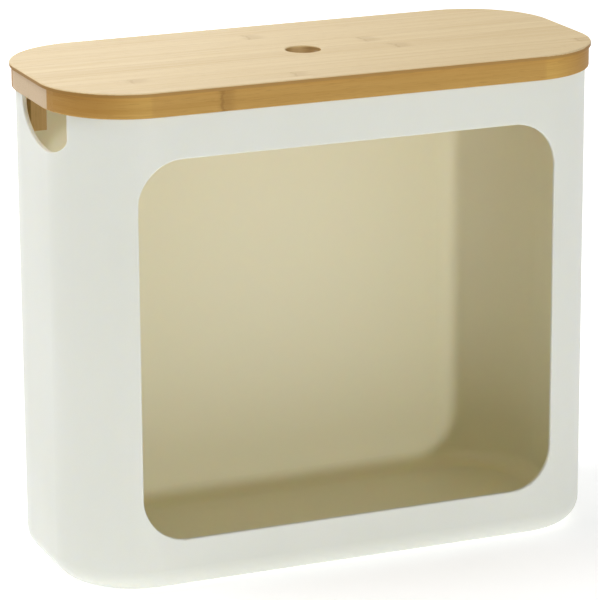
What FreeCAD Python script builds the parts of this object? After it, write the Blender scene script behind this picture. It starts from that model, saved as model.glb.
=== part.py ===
import FreeCAD, Part
import math
import os

# Bathroom storage unit: a moulded tub with a front window and two hand
# notches, closed by a lift-off laminated bamboo lid. Sizes in millimetres.
# Frame: origin on the floor under the middle, +X along the length, +Y to the
# back, +Z up. The window is on the -Y side.

# Tub
BODY_LENGTH = 353.0
BODY_DEPTH = 152.0
BODY_HEIGHT = 297.5
BODY_CORNER_RADIUS = 51.5
WALL = 3.0
FLOOR_THICKNESS = 3.0
BASE_EDGE_RADIUS = 14.0
RIM_BEVEL = 0.7

# Front window
WINDOW_SIDE_MARGIN = 39.5
WINDOW_SILL = 32.5
WINDOW_HEAD = 27.0
WINDOW_CORNER_RADIUS = 28.0
WINDOW_RIM_ROUNDING = 0.8

# Hand notch at the top of each end wall: its lowest point is set towards the
# front, with a long oval rise to the back and a tight one to the front
NOTCH_DEPTH = 27.0
NOTCH_SET_FORWARD = 22.0
NOTCH_BACK_REACH = 42.0
NOTCH_BACK_RISE = 22.0
NOTCH_FRONT_REACH = 24.5
NOTCH_FRONT_RISE = 11.5
NOTCH_RIM_ROUNDING = 0.6

# Lid: a thin face ply over a thick core, both of lengthwise bamboo staves
LID_OVERHANG = 2.3
FACE_PLY_LIP = 1.2
FACE_PLY_THICKNESS = 2.5
CORE_THICKNESS = 13.0
FACE_STAVES = 8
CORE_STAVES = 4
FACE_EDGE_ROUNDING = 0.9
CORE_EDGE_ROUNDING = 0.7
FINGER_HOLE_DIAMETER = 22.0

# Locating pegs glued under the lid, one in each corner of the tub
PEG_LENGTH = 29.0
PEG_SIDE = 10.0
PEG_WALL_CLEARANCE = 2.0
PEG_CORNER_ANGLE = 30.0

# Worked-out sizes
INNER_LENGTH = BODY_LENGTH - 2 * WALL
INNER_DEPTH = BODY_DEPTH - 2 * WALL
INNER_CORNER_RADIUS = BODY_CORNER_RADIUS - WALL
WINDOW_WIDTH = BODY_LENGTH - 2 * WINDOW_SIDE_MARGIN
WINDOW_HEIGHT = BODY_HEIGHT - WINDOW_SILL - WINDOW_HEAD
CORE_LENGTH = BODY_LENGTH + 2 * LID_OVERHANG
CORE_DEPTH = BODY_DEPTH + 2 * LID_OVERHANG
CORE_CORNER_RADIUS = BODY_CORNER_RADIUS + LID_OVERHANG
FACE_LENGTH = CORE_LENGTH + 2 * FACE_PLY_LIP
FACE_DEPTH = CORE_DEPTH + 2 * FACE_PLY_LIP
FACE_CORNER_RADIUS = CORE_CORNER_RADIUS + FACE_PLY_LIP
CORE_BOTTOM = BODY_HEIGHT
FACE_BOTTOM = CORE_BOTTOM + CORE_THICKNESS
NOTCH_BACK_Y = NOTCH_BACK_REACH - NOTCH_SET_FORWARD
NOTCH_FRONT_Y = -NOTCH_FRONT_REACH - NOTCH_SET_FORWARD
NOTCH_BOTTOM = BODY_HEIGHT - NOTCH_DEPTH
CUT_MARGIN = 10.0
EDGE_TOLERANCE = 0.01


def rounded_plate(length, depth, radius, bottom, height):
    """Upright prism on a rounded rectangle, centred on the Z axis."""
    half_x = length / 2
    half_y = depth / 2
    block = Part.makeBox(length, depth, height, FreeCAD.Vector(-half_x, -half_y, bottom))
    corners = [edge for edge in block.Edges if abs(edge.BoundBox.ZLength - height) < 1e-6]
    return block.makeFillet(radius, corners)


def edges_at_level(solid, level):
    """Edges of a solid that lie flat at one height."""
    return [
        edge
        for edge in solid.Edges
        if edge.BoundBox.ZLength < 1e-6 and abs(edge.BoundBox.ZMin - level) < 1e-6
    ]


def round_edges_at_level(solid, level, radius):
    """Round every edge that lies flat at one height."""
    return solid.makeFillet(radius, edges_at_level(solid, level))


def edges_within(solid, low, high):
    """Edges of a solid that lie inside a box, without those that only cross the wall."""
    box = FreeCAD.BoundBox(low, high)
    box.enlarge(EDGE_TOLERANCE)
    return [
        edge
        for edge in solid.Edges
        if box.isInside(edge.BoundBox) and edge.BoundBox.DiagonalLength > 1.5 * WALL
    ]


def tub_blank():
    """Closed-bottom tub before its window and notches are cut."""
    outer = rounded_plate(BODY_LENGTH, BODY_DEPTH, BODY_CORNER_RADIUS, 0, BODY_HEIGHT)
    outer = round_edges_at_level(outer, 0, BASE_EDGE_RADIUS)
    inner_height = BODY_HEIGHT - FLOOR_THICKNESS + CUT_MARGIN
    inner = rounded_plate(INNER_LENGTH, INNER_DEPTH, INNER_CORNER_RADIUS, FLOOR_THICKNESS, inner_height)
    inner = round_edges_at_level(inner, FLOOR_THICKNESS, BASE_EDGE_RADIUS - WALL)
    tub = outer.cut(inner)
    return tub.makeChamfer(RIM_BEVEL, edges_at_level(tub, BODY_HEIGHT))


def window_cutter():
    """Rounded rectangle that goes through the front wall only."""
    reach = BODY_CORNER_RADIUS / 2 + CUT_MARGIN
    start = FreeCAD.Vector(-WINDOW_WIDTH / 2, -BODY_DEPTH / 2 - CUT_MARGIN, WINDOW_SILL)
    block = Part.makeBox(WINDOW_WIDTH, reach, WINDOW_HEIGHT, start)
    corners = [edge for edge in block.Edges if abs(edge.BoundBox.YLength - reach) < 1e-6]
    return block.makeFillet(WINDOW_CORNER_RADIUS, corners)


def oval_rise(x, reach, rise, turn):
    """Quarter oval from the notch's lowest point to one side; turn is 1 to the back, -1 to the front."""
    low_y = -NOTCH_SET_FORWARD
    centre = FreeCAD.Vector(x, low_y, NOTCH_BOTTOM + rise)
    side_point = FreeCAD.Vector(x, low_y + turn * reach, NOTCH_BOTTOM + rise)
    low_point = FreeCAD.Vector(x, low_y, NOTCH_BOTTOM)
    oval = Part.Ellipse(side_point, low_point, centre)
    return Part.ArcOfEllipse(oval, 0, math.pi / 2).toShape()


def notch_cutter(side):
    """U shape with an oval bottom, through one end wall; side is -1 for left, 1 for right."""
    outside_x = side * (BODY_LENGTH / 2 + CUT_MARGIN)
    reach = BODY_CORNER_RADIUS / 2 + CUT_MARGIN
    above = BODY_HEIGHT + CUT_MARGIN
    back_side = FreeCAD.Vector(outside_x, NOTCH_BACK_Y, NOTCH_BOTTOM + NOTCH_BACK_RISE)
    back_top = FreeCAD.Vector(outside_x, NOTCH_BACK_Y, above)
    front_top = FreeCAD.Vector(outside_x, NOTCH_FRONT_Y, above)
    front_side = FreeCAD.Vector(outside_x, NOTCH_FRONT_Y, NOTCH_BOTTOM + NOTCH_FRONT_RISE)
    edges = [
        oval_rise(outside_x, NOTCH_BACK_REACH, NOTCH_BACK_RISE, 1),
        Part.makeLine(back_side, back_top),
        Part.makeLine(back_top, front_top),
        Part.makeLine(front_top, front_side),
        oval_rise(outside_x, NOTCH_FRONT_REACH, NOTCH_FRONT_RISE, -1),
    ]
    outline = Part.Wire(Part.__sortEdges__(edges))
    return Part.Face(outline).extrude(FreeCAD.Vector(-side * reach, 0, 0))


def window_rims(tub):
    """Inner and outer edges of the window."""
    front = -BODY_DEPTH / 2
    low = FreeCAD.Vector(-WINDOW_WIDTH / 2, front, WINDOW_SILL)
    high = FreeCAD.Vector(WINDOW_WIDTH / 2, front + BODY_CORNER_RADIUS / 2, WINDOW_SILL + WINDOW_HEIGHT)
    return edges_within(tub, low, high)


def notch_rims(tub, side):
    """Inner and outer edges of one hand notch, up to the bevel of the tub's rim."""
    outside_x = side * BODY_LENGTH / 2
    inside_x = side * (BODY_LENGTH - BODY_CORNER_RADIUS) / 2
    low = FreeCAD.Vector(min(outside_x, inside_x), NOTCH_FRONT_Y, NOTCH_BOTTOM)
    high = FreeCAD.Vector(max(outside_x, inside_x), NOTCH_BACK_Y, BODY_HEIGHT - RIM_BEVEL)
    return edges_within(tub, low, high)


def body_shell():
    """The tub with its window and both hand notches, their rims rounded."""
    tub = tub_blank().cut(window_cutter())
    tub = tub.makeFillet(WINDOW_RIM_ROUNDING, window_rims(tub))
    for side in (-1, 1):
        tub = tub.cut(notch_cutter(side))
        tub = tub.makeFillet(NOTCH_RIM_ROUNDING, notch_rims(tub, side))
    return tub


def finger_hole(bottom, height):
    """Upright drill for the hole in the middle of the lid."""
    base = FreeCAD.Vector(0, 0, bottom - CUT_MARGIN)
    return Part.makeCylinder(FINGER_HOLE_DIAMETER / 2, height + 2 * CUT_MARGIN, base)


def face_ply():
    """Thin top board with its upper edge rounded, before it is parted into staves."""
    board = rounded_plate(FACE_LENGTH, FACE_DEPTH, FACE_CORNER_RADIUS, FACE_BOTTOM, FACE_PLY_THICKNESS)
    board = board.cut(finger_hole(FACE_BOTTOM, FACE_PLY_THICKNESS))
    return round_edges_at_level(board, FACE_BOTTOM + FACE_PLY_THICKNESS, FACE_EDGE_ROUNDING)


def core_board():
    """Thick lower board with its underside edge rounded, before it is parted into staves."""
    board = rounded_plate(CORE_LENGTH, CORE_DEPTH, CORE_CORNER_RADIUS, CORE_BOTTOM, CORE_THICKNESS)
    board = board.cut(finger_hole(CORE_BOTTOM, CORE_THICKNESS))
    return round_edges_at_level(board, CORE_BOTTOM, CORE_EDGE_ROUNDING)


def staves(board, depth, count):
    """Part a board into equal lengthwise staves, front to back."""
    box = board.BoundBox
    width = depth / count
    pieces = []
    for index in range(count):
        corner = FreeCAD.Vector(box.XMin - CUT_MARGIN, -depth / 2 + index * width, box.ZMin - CUT_MARGIN)
        strip = Part.makeBox(box.XLength + 2 * CUT_MARGIN, width, box.ZLength + 2 * CUT_MARGIN, corner)
        pieces.append(board.common(strip))
    return pieces


def peg(side_x, side_y):
    """Square peg under the lid that stands in one rounded inner corner of the tub."""
    arc_x = INNER_LENGTH / 2 - INNER_CORNER_RADIUS
    arc_y = INNER_DEPTH / 2 - INNER_CORNER_RADIUS
    reach = INNER_CORNER_RADIUS - PEG_WALL_CLEARANCE
    angle = math.radians(PEG_CORNER_ANGLE)
    far_x = arc_x + reach * math.cos(angle)
    far_y = arc_y + reach * math.sin(angle)
    low_x = far_x - PEG_SIDE if side_x > 0 else -far_x
    low_y = far_y - PEG_SIDE if side_y > 0 else -far_y
    corner = FreeCAD.Vector(low_x, low_y, CORE_BOTTOM - PEG_LENGTH)
    return Part.makeBox(PEG_SIDE, PEG_SIDE, PEG_LENGTH, corner)


def build():
    """All nodes by name."""
    nodes = {"body_shell": body_shell()}
    for number, piece in enumerate(staves(face_ply(), FACE_DEPTH, FACE_STAVES), start=1):
        nodes[f"lid_face_stave_{number}"] = piece
    for number, piece in enumerate(staves(core_board(), CORE_DEPTH, CORE_STAVES), start=1):
        nodes[f"lid_core_stave_{number}"] = piece
    for x_name, side_x in (("left", -1), ("right", 1)):
        for y_name, side_y in (("front", -1), ("back", 1)):
            nodes[f"lid_peg_{y_name}_{x_name}"] = peg(side_x, side_y)
    return nodes


os.makedirs("parts", exist_ok=True)
for name, shape in build().items():
    shape.exportStep(f"parts/{name}.step")
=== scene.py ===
import logging
import math
from dataclasses import dataclass, field
from enum import Enum

import bmesh
import bpy
from mathutils import Euler, Matrix, Vector


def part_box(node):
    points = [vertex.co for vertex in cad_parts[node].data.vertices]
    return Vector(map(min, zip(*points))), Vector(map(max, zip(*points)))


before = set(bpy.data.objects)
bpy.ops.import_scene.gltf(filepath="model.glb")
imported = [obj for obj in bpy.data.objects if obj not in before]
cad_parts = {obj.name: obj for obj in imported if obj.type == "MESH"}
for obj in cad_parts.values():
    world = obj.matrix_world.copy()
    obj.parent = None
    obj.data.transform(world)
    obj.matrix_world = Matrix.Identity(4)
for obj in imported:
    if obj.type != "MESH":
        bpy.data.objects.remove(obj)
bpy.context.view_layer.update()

LOG = logging.getLogger("storage_unit")
MM = 0.001

Colour = tuple[float, float, float, float]
Socket = bpy.types.NodeSocket

WHITE: Colour = (1.0, 1.0, 1.0, 1.0)
SEED_STEPS = (3.7, 11.3, 7.9)
MIX_FIRST, MIX_SECOND, MIX_RESULT = 6, 7, 2


def srgb(red: int, green: int, blue: int) -> Colour:
    """Turn a colour as a screen shows it into the linear one that shaders take.

    Args:
        red: Red, 0 to 255.
        green: Green, 0 to 255.
        blue: Blue, 0 to 255.

    Returns:
        Linear red, green and blue, with an alpha of 1.
    """
    shares = [level / 255 for level in (red, green, blue)]
    linear = [s / 12.92 if s <= 0.04045 else ((s + 0.055) / 1.055) ** 2.4 for s in shares]
    return (*linear, 1.0)


class GrainRun(Enum):
    """Which way the fibres of a strip of bamboo run; the value is the axis number."""

    LENGTHWISE = 0
    UPRIGHT = 2


@dataclass(frozen=True)
class Ramp:
    """Smooth step: where a number starts and ends, and what the step gives there."""

    low: float
    high: float
    start: float = 0.0
    end: float = 1.0


@dataclass(frozen=True)
class Tint:
    """Colour that a surface takes on in part."""

    colour: Colour
    share: float


class Graph:
    """Node tree of one material, with short calls for the nodes that the finishes need."""

    def __init__(self, name: str) -> None:
        """Start a material that has one surface shader.

        Args:
            name: Name of the material.
        """
        self.material = bpy.data.materials.new(name)
        self.material.use_nodes = True
        self.nodes = self.material.node_tree.nodes
        self.links = self.material.node_tree.links
        self.shader = self.nodes["Principled BSDF"]
        place = self.nodes.new("ShaderNodeTexCoord")
        self.facing = self._parts(place.outputs["Normal"])
        scale = self.nodes.new("ShaderNodeVectorMath")
        scale.operation = "SCALE"
        scale.inputs["Scale"].default_value = 1 / MM
        self.links.new(place.outputs["Object"], scale.inputs[0])
        self.point = scale.outputs[0]
        self.axes = self._parts(self.point)

    def _parts(self, vector: Socket) -> list[Socket]:
        """Split a vector into its three numbers.

        Args:
            vector: The vector.

        Returns:
            Its X, Y and Z.
        """
        node = self.nodes.new("ShaderNodeSeparateXYZ")
        self.links.new(vector, node.inputs[0])
        return list(node.outputs)

    def _feed(self, target: Socket, value: Socket | float | Colour) -> None:
        """Link a socket to another one, or set it to a constant.

        Args:
            target: The socket.
            value: The other socket, or the constant.
        """
        if isinstance(value, bpy.types.NodeSocket):
            self.links.new(value, target)
        else:
            target.default_value = value

    def math(self, operation: str, first: Socket | float, second: Socket | float = 0.0) -> Socket:
        """Do one sum on one or two numbers.

        Args:
            operation: Name of the sum, such as ADD.
            first: First number.
            second: Second number, where the sum takes two.

        Returns:
            The result.
        """
        node = self.nodes.new("ShaderNodeMath")
        node.operation = operation
        self._feed(node.inputs[0], first)
        self._feed(node.inputs[1], second)
        return node.outputs[0]

    def span(self, value: Socket, ramp: Ramp) -> Socket:
        """Send a number through a smooth step.

        Args:
            value: The number.
            ramp: The step.

        Returns:
            What the step gives for the number.
        """
        node = self.nodes.new("ShaderNodeMapRange")
        node.interpolation_type = "SMOOTHSTEP"
        self._feed(node.inputs["Value"], value)
        node.inputs["From Min"].default_value = ramp.low
        node.inputs["From Max"].default_value = ramp.high
        node.inputs["To Min"].default_value = ramp.start
        node.inputs["To Max"].default_value = ramp.end
        return node.outputs[0]

    def blend(
        self, first: Socket | Colour, second: Socket | Colour, share: Socket | float
    ) -> Socket:
        """Mix two colours.

        Args:
            first: Colour at share 0.
            second: Colour at share 1.
            share: How much of the second colour shows.

        Returns:
            The mixed colour.
        """
        node = self.nodes.new("ShaderNodeMix")
        node.data_type = "RGBA"
        self._feed(node.inputs["Factor"], share)
        self._feed(node.inputs[MIX_FIRST], first)
        self._feed(node.inputs[MIX_SECOND], second)
        return node.outputs[MIX_RESULT]

    def cloud(
        self, sizes: tuple[float, float, float], seed: float = 0.0, detail: float = 3.0
    ) -> Socket:
        """Noise whose blots have a given size along each axis.

        Args:
            sizes: Size of a blot along X, Y and Z, in millimetres.
            seed: Shifts the noise, so that no two pieces share it.
            detail: How many finer layers the noise has.

        Returns:
            A number around 0.5.
        """
        node = self.nodes.new("ShaderNodeVectorMath")
        node.operation = "MULTIPLY_ADD"
        self.links.new(self.point, node.inputs[0])
        node.inputs[1].default_value = [1 / size for size in sizes]
        node.inputs[2].default_value = [seed * step for step in SEED_STEPS]
        noise = self.nodes.new("ShaderNodeTexNoise")
        noise.inputs["Scale"].default_value = 1.0
        noise.inputs["Detail"].default_value = detail
        self.links.new(node.outputs[0], noise.inputs["Vector"])
        return noise.outputs[0]

    def relief(self, height: Socket, depth: float) -> None:
        """Give the surface a fine relief.

        Args:
            height: Height, 0 to 1.
            depth: How deep the relief is, in millimetres.
        """
        node = self.nodes.new("ShaderNodeBump")
        node.inputs["Distance"].default_value = depth * MM
        self.links.new(height, node.inputs["Height"])
        self.links.new(node.outputs[0], self.shader.inputs["Normal"])


@dataclass(frozen=True)
class SatinPlastic:
    """Moulded off-white plastic with a fine satin skin, slightly translucent; its inner faces
    carry painted warm bounce light.
    """

    outside: Colour = srgb(219, 221, 213)
    shaded: Colour = srgb(215, 217, 208)
    # Lighter, warmer colour of the inner faces: painted warm bounce light, not a different
    # plastic.
    inside: Colour = srgb(231, 228, 203)
    flow_size: tuple[float, float, float] = (70.0, 70.0, 160.0)
    flow_seed: float = 1.0
    flow_ramp: Ramp = Ramp(0.30, 0.70, 0.0, 0.6)
    speck_size: float = 0.6
    speck_seed: float = 2.0
    speck_ramp: Ramp = Ramp(0.45, 0.75, 0.0, 0.5)
    skin_size: float = 0.45
    skin_seed: float = 3.0
    skin_depth: float = 0.012
    detail: float = 2.0
    painted_bounce_from: tuple[float, float] = (0.6, 0.9)
    painted_bounce_facing: Ramp = Ramp(-0.35, -0.15)
    roughness: Ramp = Ramp(0.3, 0.7, 0.44, 0.50)
    refraction: float = 1.46
    translucency: float = 0.45
    scatter: tuple[float, float, float] = (1.0, 0.85, 0.55)
    scatter_reach: float = 4.0

    def material(
        self, name: str, half: tuple[float, float], radius: float, wall: float
    ) -> bpy.types.Material:
        """Make the material for a tub that is a rounded rectangle seen from above.

        Args:
            name: Name of the material.
            half: Half the length and half the depth of the tub, in millimetres.
            radius: Radius of its upright corners, in millimetres.
            wall: Thickness of its wall, in millimetres.

        Returns:
            The material.
        """
        graph = Graph(name)
        flow = graph.cloud(self.flow_size, self.flow_seed, self.detail)
        speck = graph.cloud((self.speck_size,) * 3, self.speck_seed, self.detail)
        skin = graph.cloud((self.skin_size,) * 3, self.skin_seed, self.detail)
        colour = graph.blend(self.outside, self.shaded, graph.span(flow, self.flow_ramp))
        colour = graph.blend(colour, self.shaded, graph.span(speck, self.speck_ramp))
        # Painted bounce light: faces deep within the wall that do not face down take the lighter,
        # warmer inside colour.
        depth_in = self._depth_in(graph, half, radius)
        painted_bounce_share = graph.span(depth_in, Ramp(*(wall * share for share in self.painted_bounce_from)))
        level = graph.span(graph.facing[2], self.painted_bounce_facing)
        colour = graph.blend(colour, self.inside, graph.math("MULTIPLY", painted_bounce_share, level))
        shader = graph.shader.inputs
        graph.links.new(colour, shader["Base Color"])
        graph.links.new(graph.span(flow, self.roughness), shader["Roughness"])
        shader["IOR"].default_value = self.refraction
        shader["Subsurface Weight"].default_value = self.translucency
        shader["Subsurface Radius"].default_value = self.scatter
        shader["Subsurface Scale"].default_value = self.scatter_reach * MM
        graph.relief(skin, self.skin_depth)
        return graph.material

    def _depth_in(self, graph: Graph, half: tuple[float, float], radius: float) -> Socket:
        """How far inside the tub's outer outline a point lies.

        Args:
            graph: Graph of the material.
            half: Half the length and half the depth of the tub, in millimetres.
            radius: Radius of its upright corners, in millimetres.

        Returns:
            The depth, in millimetres.
        """
        reach = [
            graph.math("SUBTRACT", graph.math("ABSOLUTE", graph.axes[axis]), half[axis] - radius)
            for axis in (0, 1)
        ]
        past = [graph.math("MAXIMUM", value, 0.0) for value in reach]
        squares = graph.math("ADD", *(graph.math("MULTIPLY", value, value) for value in past))
        corner = graph.math("SQRT", squares)
        flat = graph.math("MINIMUM", graph.math("MAXIMUM", *reach), 0.0)
        return graph.math("SUBTRACT", radius, graph.math("ADD", corner, flat))


@dataclass(frozen=True)
class NodeMark:
    """Mark that a node of the cane leaves on a strip, in millimetres from the lid's middle."""

    along: float
    across: float
    width: float = 11.0
    strength: float = 0.38
    line: float = 1.8
    tail: float = 10.0
    bow: float = 0.02
    ragged_size: tuple[float, float, float] = (9.0, 3.0, 3.0)
    ragged: Ramp = Ramp(0.3, 0.7, -1.2, 1.2)
    line_core: float = 0.3
    tail_shift: float = 0.3
    tail_share: float = 0.6
    full_share: float = 0.4


@dataclass(frozen=True)
class Strip:
    """One strip of bamboo: where it lies and how it differs from its neighbours."""

    low: Vector
    high: Vector
    seed: float
    tone: float
    marks: tuple[NodeMark, ...] = ()
    end_grain: bool = False
    grain: GrainRun = GrainRun.LENGTHWISE


@dataclass(frozen=True)
class Bamboo:
    """Lacquered bamboo: fibres, vessels, node marks, glue lines and end grain, with optional side
    tints that can carry painted shade.
    """

    pale: Colour
    brown: Colour
    vessel: Colour
    end: Colour | None = None
    # Side tint: partly the edge's own brown tone, partly a painted shadow line under the face
    # ply's lip.
    side: Tint | None = None
    turned: Tint | None = None
    bore: Colour | None = None
    bore_reach: Ramp = Ramp(11.3, 11.6, 1.0, 0.0)
    glue: Tint = Tint(srgb(160, 120, 66), 0.3)
    glue_reach: tuple[float, float] = (0.22, 0.05)
    fibre_size: tuple[float, float] = (60.0, 0.9)
    fibre_detail: float = 3.0
    fibre_ramp: Ramp = Ramp(0.3, 0.7, 0.0, 0.45)
    band_size: tuple[float, float] = (420.0, 5.0)
    band_seed: float = 0.31
    band_detail: float = 2.0
    band_ramp: Ramp = Ramp(0.32, 0.68, 0.0, 0.55)
    dash_size: tuple[float, float] = (9.0, 0.4)
    dash_seed: float = 0.57
    dash_detail: float = 1.0
    vessel_ramp: Ramp = Ramp(0.58, 0.72)
    vessel_share: float = 0.22
    vessel_depth: float = 0.4
    contrast: float = 0.48
    ends_ramp: Ramp = Ramp(0.80, 0.97)
    upright_ramp: Ramp = Ramp(0.15, 0.50, 1.0, 0.0)
    turn_from: float = 0.10
    turn_to: float = 0.75
    side_spread: float = 0.03
    end_reach: Ramp = Ramp(31.7, 32.3, 1.0, 0.0)
    end_vessels: Ramp = Ramp(0.55, 0.75, 0.0, 0.3)
    roughness: Ramp = Ramp(0.3, 0.7, 0.48, 0.60)
    sheen: float = 0.15
    relief_depth: float = 0.008

    def material(self, name: str, strip: Strip) -> bpy.types.Material:
        """Make the material of one strip.

        Args:
            name: Name of the material.
            strip: The strip that it is for.

        Returns:
            The material.
        """
        graph = Graph(name)
        along = graph.math("ABSOLUTE", graph.facing[strip.grain.value])
        ends = graph.span(along, self.ends_ramp)
        upright = graph.span(graph.math("ABSOLUTE", graph.facing[2]), self.upright_ramp)
        if strip.grain is GrainRun.LENGTHWISE:
            self._follow_sides(graph, upright, ends, strip.end_grain)
        fibre = graph.cloud(self._run(strip, self.fibre_size), strip.seed, self.fibre_detail)
        dash = graph.cloud(
            self._run(strip, self.dash_size), strip.seed + self.dash_seed, self.dash_detail
        )
        vessels = graph.span(dash, self.vessel_ramp)
        colour = self._streaks(graph, strip, fibre)
        # Darker upright sides: partly the edge's own brown, partly painted shadow under the lip
        # on the face ply.
        if self.side:
            share = graph.math("MULTIPLY", upright, self.side.share)
            colour = graph.blend(colour, self.side.colour, share)
        if self.bore:
            colour = graph.blend(colour, self.bore, self._in_bore(graph, upright))
        # Darker where the side turns round a corner; on the face ply this deepens the painted
        # shadow line under the lip.
        if self.turned:
            turn = Ramp(self.turn_from, self.turn_to, 0.0, self.turned.share)
            share = graph.math("MULTIPLY", upright, graph.span(along, turn))
            colour = graph.blend(colour, self.turned.colour, share)
        colour = graph.blend(
            colour, self.vessel, graph.math("MULTIPLY", vessels, self.vessel_share)
        )
        for mark in strip.marks:
            colour = graph.blend(colour, self.vessel, self._mark(graph, mark, strip.seed))
        if strip.end_grain:
            tip = graph.blend(self.end, self.vessel, graph.span(dash, self.end_vessels))
            bared = graph.span(graph.math("ABSOLUTE", graph.axes[1]), self.end_reach)
            colour = graph.blend(colour, tip, graph.math("MULTIPLY", ends, bared))
        if strip.grain is GrainRun.LENGTHWISE:
            colour = graph.blend(colour, self.glue.colour, self._glue_lines(graph, strip))
        graph.links.new(colour, graph.shader.inputs["Base Color"])
        graph.links.new(graph.span(fibre, self.roughness), graph.shader.inputs["Roughness"])
        graph.shader.inputs["Specular IOR Level"].default_value = self.sheen
        pores = graph.math("MULTIPLY", vessels, self.vessel_depth)
        graph.relief(graph.math("SUBTRACT", fibre, pores), self.relief_depth)
        return graph.material

    def _streaks(self, graph: Graph, strip: Strip, fibre: Socket) -> Socket:
        """Colour of the fibres and of the broader bands that they lie in.

        Args:
            graph: Graph of the strip's material.
            strip: The strip.
            fibre: Noise of the fibres.

        Returns:
            The colour.
        """
        band = graph.cloud(
            self._run(strip, self.band_size), strip.seed + self.band_seed, self.band_detail
        )
        depth = graph.math(
            "ADD", graph.span(fibre, self.fibre_ramp), graph.span(band, self.band_ramp)
        )
        share = graph.math("MULTIPLY_ADD", depth, self.contrast)
        share.node.inputs[2].default_value = strip.tone
        return graph.blend(self.pale, self.brown, share)

    def _follow_sides(
        self, graph: Graph, upright: Socket, ends: Socket, end_grain: bool
    ) -> None:
        """Let the streaks run round the sides of a board, and fibres along its top and underside.

        Args:
            graph: Graph of the strip's material.
            upright: How upright the surface is at a point.
            ends: How squarely a point faces along the fibres.
            end_grain: Whether the strip shows its end grain there.
        """
        sides = upright
        if end_grain:
            sides = graph.math("MULTIPLY", upright, graph.span(ends, Ramp(0.0, 1.0, 1.0, 0.0)))
        spread = graph.span(sides, Ramp(0.0, 1.0, 1.0, self.side_spread))
        node = graph.nodes.new("ShaderNodeCombineXYZ")
        graph.links.new(graph.axes[0], node.inputs[0])
        graph.links.new(graph.math("MULTIPLY", graph.axes[1], spread), node.inputs[1])
        graph.links.new(graph.axes[2], node.inputs[2])
        graph.point = node.outputs[0]

    def _in_bore(self, graph: Graph, upright: Socket) -> Socket:
        """Whether a point lies on the wall of the finger hole.

        Args:
            graph: Graph of the strip's material.
            upright: How upright the surface is at the point.

        Returns:
            1 on the wall, and 0 elsewhere.
        """
        squares = [graph.math("MULTIPLY", axis, axis) for axis in graph.axes[:2]]
        away = graph.math("SQRT", graph.math("ADD", *squares))
        return graph.math("MULTIPLY", upright, graph.span(away, self.bore_reach))

    def _run(self, strip: Strip, sizes: tuple[float, float]) -> tuple[float, float, float]:
        """Size of a blot along each axis, long where the fibres run.

        Args:
            strip: The strip.
            sizes: Size along and across the fibres, in millimetres.

        Returns:
            Size along X, Y and Z, in millimetres.
        """
        run = [sizes[1]] * 3
        run[strip.grain.value] = sizes[0]
        return tuple(run)

    def _mark(self, graph: Graph, mark: NodeMark, seed: float) -> Socket:
        """How dark one node mark is at a point.

        Args:
            graph: Graph of the strip's material.
            mark: The mark.
            seed: Seed of the strip, which shapes the mark's ragged edge.

        Returns:
            The darkness, 0 to the mark's strength.
        """
        wobble = graph.span(graph.cloud(mark.ragged_size, seed + mark.along), mark.ragged)
        across = graph.math("SUBTRACT", graph.axes[1], mark.across)
        bowed = graph.math("MULTIPLY", graph.math("MULTIPLY", across, across), mark.bow)
        along = graph.math("ADD", graph.math("SUBTRACT", graph.axes[0], mark.along), wobble)
        along = graph.math("ADD", along, bowed)
        line_ramp = Ramp(mark.line_core, mark.line, mark.strength, 0.0)
        line = graph.span(graph.math("ABSOLUTE", along), line_ramp)
        past = graph.math("SUBTRACT", along, mark.tail * mark.tail_shift)
        tail_ramp = Ramp(0.0, mark.tail, mark.strength * mark.tail_share, 0.0)
        tail = graph.span(graph.math("ABSOLUTE", past), tail_ramp)
        width_ramp = Ramp(mark.width * mark.full_share, mark.width, 1.0, 0.0)
        kept = graph.span(graph.math("ABSOLUTE", across), width_ramp)
        return graph.math("MULTIPLY", graph.math("MAXIMUM", line, tail), kept)

    def _glue_lines(self, graph: Graph, strip: Strip) -> Socket:
        """How near a point is to the glued long sides of its strip.

        Args:
            graph: Graph of the strip's material.
            strip: The strip.

        Returns:
            How much of the glue shows at the point.
        """
        middle = (strip.low.y + strip.high.y) / 2 / MM
        half = (strip.high.y - strip.low.y) / 2 / MM
        side = graph.math("ABSOLUTE", graph.math("SUBTRACT", graph.axes[1], middle))
        start, end = (half - reach for reach in self.glue_reach)
        return graph.span(side, Ramp(start, end, 0.0, self.glue.share))


@dataclass
class Tub:
    """The moulded tub."""

    node: str = "body_shell"
    corner_radius: float = 51.5
    wall: float = 3.0
    finish: SatinPlastic = SatinPlastic()

    def build(self) -> None:
        """Dress the tub's solid in satin plastic."""
        low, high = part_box(self.node)
        half = ((high.x - low.x) / 2 / MM, (high.y - low.y) / 2 / MM)
        plastic = self.finish.material("tub_satin_plastic", half, self.corner_radius, self.wall)
        dress(self.node, plastic)


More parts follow.
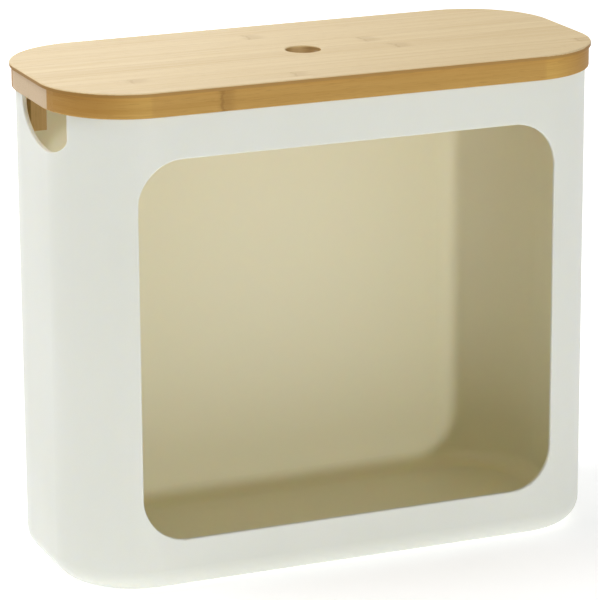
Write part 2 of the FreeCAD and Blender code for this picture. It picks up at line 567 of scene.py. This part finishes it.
@dataclass
class Lid:
    """The laminated lid: face staves over core staves, with pegs below."""

    face: Bamboo = Bamboo(
        pale=srgb(229, 207, 163),
        brown=srgb(211, 182, 131),
        vessel=srgb(170, 132, 80),
        # Face ply sides and corners: edge brown plus painted shadow under the lip.
        side=Tint(srgb(158, 120, 58), 0.92),
        turned=Tint(srgb(138, 98, 40), 0.6),
        bore=srgb(235, 205, 149),
    )
    core: Bamboo = Bamboo(
        pale=srgb(203, 165, 91),
        brown=srgb(169, 127, 56),
        vessel=srgb(112, 76, 32),
        end=srgb(200, 176, 144),
        turned=Tint(srgb(142, 94, 36), 0.5),
        bore=srgb(235, 205, 149),
    )
    peg: Bamboo = Bamboo(
        pale=srgb(231, 200, 142), brown=srgb(209, 174, 114), vessel=srgb(116, 82, 42)
    )
    face_tones: tuple[float, ...] = (0.06, 0.14, 0.04, 0.20, 0.02, 0.12, 0.06, 0.14)
    face_marks: dict[int, tuple[NodeMark, ...]] = field(
        default_factory=lambda: {
            1: (NodeMark(-33, -64),),
            2: (NodeMark(168, -42), NodeMark(-129, -43)),
            4: (NodeMark(57, -14),),
            5: (NodeMark(46, 12),),
            7: (NodeMark(-18, 46),),
        }
    )
    core_tones: tuple[float, ...] = (0.20, 0.10, 0.26, 0.14)
    core_marks: dict[int, tuple[NodeMark, ...]] = field(
        default_factory=lambda: {
            1: (NodeMark(-84, -78, width=30.0, strength=0.58, line=2.4, tail=7.5, bow=0.0),)
        }
    )
    core_end_grain: tuple[int, ...] = (2, 3)
    stave_seed: float = 14.0
    stave_seed_step: float = 2.0
    peg_names: tuple[str, ...] = ("front_left", "back_left", "front_right", "back_right")
    peg_tone: float = 0.15
    peg_seed: float = 60.0

    def build(self) -> None:
        """Dress every stave and peg in its own piece of bamboo."""
        self._dress_staves("lid_face_stave", self.face, self.face_tones, self.face_marks, ())
        self._dress_staves(
            "lid_core_stave", self.core, self.core_tones, self.core_marks, self.core_end_grain
        )
        for number, name in enumerate(self.peg_names):
            node = f"lid_peg_{name}"
            seed = self.peg_seed + number
            strip = Strip(*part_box(node), seed, self.peg_tone, grain=GrainRun.UPRIGHT)
            dress(node, self.peg.material(f"{node}_bamboo", strip))

    def _dress_staves(
        self,
        stem: str,
        finish: Bamboo,
        tones: tuple[float, ...],
        marks: dict[int, tuple[NodeMark, ...]],
        end_grain: tuple[int, ...],
    ) -> None:
        """Dress one layer of staves, front to back.

        Args:
            stem: Start of the staves' node names.
            finish: Bamboo of the layer.
            tones: How brown each stave is.
            marks: Node marks by stave number.
            end_grain: Numbers of the staves whose end grain shows.
        """
        for number, tone in enumerate(tones, start=1):
            node = f"{stem}_{number}"
            seed = self.stave_seed + self.stave_seed_step * number
            strip = Strip(*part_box(node), seed, tone, marks.get(number, ()), number in end_grain)
            dress(node, finish.material(f"{node}_bamboo", strip))


def dress(node: str, material: bpy.types.Material) -> None:
    """Give a solid of the frame its finish.

    Args:
        node: Name of the solid's node.
        material: The finish.
    """
    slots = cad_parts[node].data.materials
    slots.clear()
    slots.append(material)
    LOG.info("dressed %s in %s", node, material.name)


@dataclass
class Lamp:
    """One soft lamp, aimed at the middle of the unit."""

    name: str
    place: tuple[float, float, float]
    size: float
    power: float

    def build(self, aim: Vector) -> None:
        """Add the lamp.

        Args:
            aim: Point that the lamp faces.
        """
        light = bpy.data.lights.new(self.name, "AREA")
        light.shape = "DISK"
        light.size = self.size
        light.energy = self.power
        lamp = bpy.data.objects.new(self.name, light)
        lamp.location = self.place
        lamp.rotation_euler = (aim - lamp.location).to_track_quat("-Z", "Y").to_euler()
        lamp.visible_camera = False
        bpy.context.scene.collection.objects.link(lamp)
        LOG.info("hung %s", self.name)


@dataclass
class Studio:
    """Pale floor, soft lamps and an even white surround."""

    floor_side: float = 12.0
    floor_cells: int = 8
    floor_gap: float = 0.0003
    floor_colour: Colour = (0.90, 0.90, 0.90, 1.0)
    floor_roughness: float = 0.9
    floor_glow: float = 0.55
    floor_lift: tuple[float, float] = (0.455, 0.75)
    floor_fade: tuple[float, float] = (0.5, 2.5)
    surround: float = 0.30
    backdrop: float = 1.0
    aim: tuple[float, float, float] = (0.0, 0.0, 0.16)
    lamps: tuple[Lamp, ...] = (
        Lamp("front_lamp", (0.12, -2.9, 0.45), 0.2, 20.5),
        Lamp("top_lamp", (-0.9, 0.25, 1.9), 1.0, 20.0),
        Lamp("right_lamp", (2.2, 0.8, 1.0), 1.4, 2.5),
        Lamp("back_lamp", (-0.9, 2.2, 1.2), 1.6, 7.0),
        Lamp("sheen_panel", (0.15, 1.5, 0.75), 1.0, 6.0),
    )

    def build(self) -> None:
        """Add the floor, the lamps and the surround."""
        self._floor()
        for lamp in self.lamps:
            lamp.build(Vector(self.aim))
        self._surround()

    def _floor(self) -> None:
        """Lay the floor, which looks white apart from the unit's shadow."""
        mesh = bpy.data.meshes.new("studio_floor")
        net = bmesh.new()
        cells = self.floor_cells
        bmesh.ops.create_grid(net, x_segments=cells, y_segments=cells, size=self.floor_side / 2)
        net.to_mesh(mesh)
        net.free()
        floor = bpy.data.objects.new("studio_floor", mesh)
        floor.location.z = -self.floor_gap
        bpy.context.scene.collection.objects.link(floor)
        mesh.materials.append(self._floor_paint())
        LOG.info("laid %s", floor.name)

    def _floor_paint(self) -> bpy.types.Material:
        """Make the floor's matt paint, which fades to white away from the unit.

        Returns:
            The material.
        """
        graph = Graph("studio_floor_paint")
        shader = graph.shader.inputs
        shader["Base Color"].default_value = self.floor_colour
        shader["Roughness"].default_value = self.floor_roughness
        shader["Specular IOR Level"].default_value = 0.0
        shader["Emission Color"].default_value = WHITE
        away = graph.nodes.new("ShaderNodeVectorMath")
        away.operation = "LENGTH"
        graph.links.new(graph.point, away.inputs[0])
        near, far = (reach / MM for reach in self.floor_fade)
        lift = graph.span(away.outputs["Value"], Ramp(near, far, *self.floor_lift))
        glow = seen_directly(graph.nodes, graph.links, self.floor_glow, lift)
        graph.links.new(glow, shader["Emission Strength"])
        return graph.material

    def _surround(self) -> None:
        """Light the scene evenly from all round, and show white behind it."""
        world = bpy.data.worlds.new("white_surround")
        world.use_nodes = True
        nodes, links = world.node_tree.nodes, world.node_tree.links
        glow = nodes["Background"]
        glow.inputs["Color"].default_value = WHITE
        level = seen_directly(nodes, links, self.surround, self.backdrop)
        links.new(level, glow.inputs["Strength"])
        bpy.context.scene.world = world
        LOG.info("lit %s", world.name)


def seen_directly(
    nodes: bpy.types.Nodes, links: bpy.types.NodeLinks, unseen: float, seen: Socket | float
) -> Socket:
    """Give a surface one strength in view and in reflections, and another for the light it sheds.

    Args:
        nodes: Nodes of the tree.
        links: Links of the tree.
        unseen: Strength for the light that it sheds.
        seen: Strength for the view and for reflections.

    Returns:
        The strength.
    """
    rays = nodes.new("ShaderNodeLightPath").outputs
    direct = rays["Is Camera Ray"]
    for kind in ("Is Glossy Ray", "Is Transmission Ray"):
        either = nodes.new("ShaderNodeMath")
        either.operation = "MAXIMUM"
        links.new(direct, either.inputs[0])
        links.new(rays[kind], either.inputs[1])
        direct = either.outputs[0]
    level = nodes.new("ShaderNodeMapRange")
    level.inputs["To Min"].default_value = unseen
    if isinstance(seen, bpy.types.NodeSocket):
        links.new(seen, level.inputs["To Max"])
    else:
        level.inputs["To Max"].default_value = seen
    links.new(direct, level.inputs["Value"])
    return level.outputs[0]


@dataclass
class Viewpoint:
    """Camera at the viewing angle of the photograph."""

    place: Vector = field(default_factory=lambda: Vector((-0.82032, -1.96106, 0.75872)))
    turn: float = 22.605
    tilt: float = 15.938
    roll: float = -0.334
    lens: float = 211.02
    sensor: float = 36.0
    farthest: float = 50.0

    def build(self) -> None:
        """Add the camera and make it the scene's own."""
        data = bpy.data.cameras.new("view_camera")
        data.sensor_fit = "HORIZONTAL"
        data.sensor_width = self.sensor
        data.lens = self.lens
        data.clip_end = self.farthest
        camera = bpy.data.objects.new("view_camera", data)
        level = Euler((math.radians(90 - self.tilt), 0.0, math.radians(-self.turn))).to_matrix()
        rolled = level @ Matrix.Rotation(math.radians(self.roll), 3, "Z")
        camera.rotation_euler = rolled.to_euler()
        camera.location = self.place
        bpy.context.scene.collection.objects.link(camera)
        bpy.context.scene.camera = camera
        LOG.info("set up %s", camera.name)


def main() -> None:
    """Build the unit, the studio and the camera."""
    logging.basicConfig(level=logging.INFO)
    bpy.context.scene.view_settings.view_transform = "Standard"
    for part in (Tub(), Lid(), Studio(), Viewpoint()):
        part.build()
        LOG.info("built %s", type(part).__name__)


if __name__ == "__main__":
    main()
